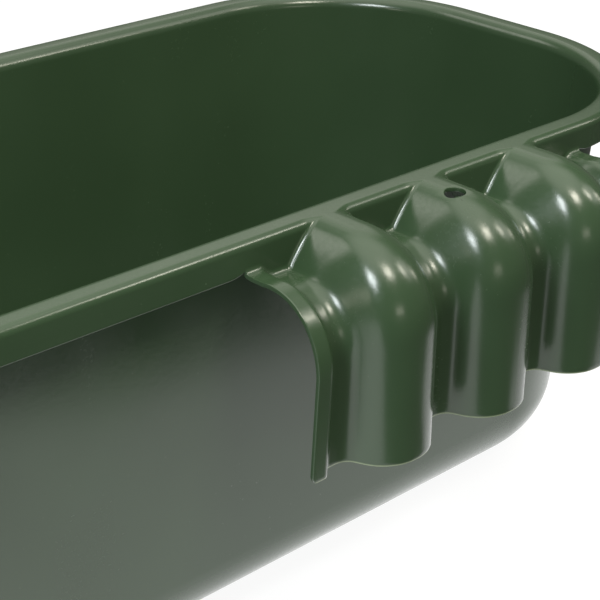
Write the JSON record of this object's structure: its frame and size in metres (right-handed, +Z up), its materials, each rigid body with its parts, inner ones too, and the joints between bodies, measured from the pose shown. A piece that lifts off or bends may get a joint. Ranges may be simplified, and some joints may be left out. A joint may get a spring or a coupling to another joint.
{
  "type": "hook-on feed trough",
  "caption": "Long green plastic feed trough with rounded corners, a flat rim and lobed moulded hooks that hang it on a rail.",
  "frame": {"origin": "middle of the flat underside", "axes": "+X along the trough, +Z up, hooks on the -Y side"},
  "size_m": [1.2, 0.486, 0.305],
  "materials": {
    "green_plastic": "dark green semi-gloss moulded plastic with fine scuffs"
  },
  "bodies": {
    "root": {"tub_floor": "green_plastic", "front_wall": "green_plastic", "back_wall": "green_plastic", "left_end_wall": "green_plastic", "right_end_wall": "green_plastic", "front_left_wall_corner": "green_plastic", "front_right_wall_corner": "green_plastic", "back_left_wall_corner": "green_plastic", "back_right_wall_corner": "green_plastic", "front_rim": "green_plastic", "back_rim": "green_plastic", "left_end_rim": "green_plastic", "right_end_rim": "green_plastic", "front_left_rim_corner": "green_plastic", "front_right_rim_corner": "green_plastic", "back_left_rim_corner": "green_plastic", "back_right_rim_corner": "green_plastic", "left_hook_top": "green_plastic", "left_hook_bend": "green_plastic", "left_hook_skirt": "green_plastic", "left_hook_inner_rib": "green_plastic", "left_hook_outer_rib": "green_plastic", "right_hook_top": "green_plastic", "right_hook_bend": "green_plastic", "right_hook_skirt": "green_plastic", "right_hook_inner_rib": "green_plastic", "right_hook_outer_rib": "green_plastic"}
  },
  "joints": []
}
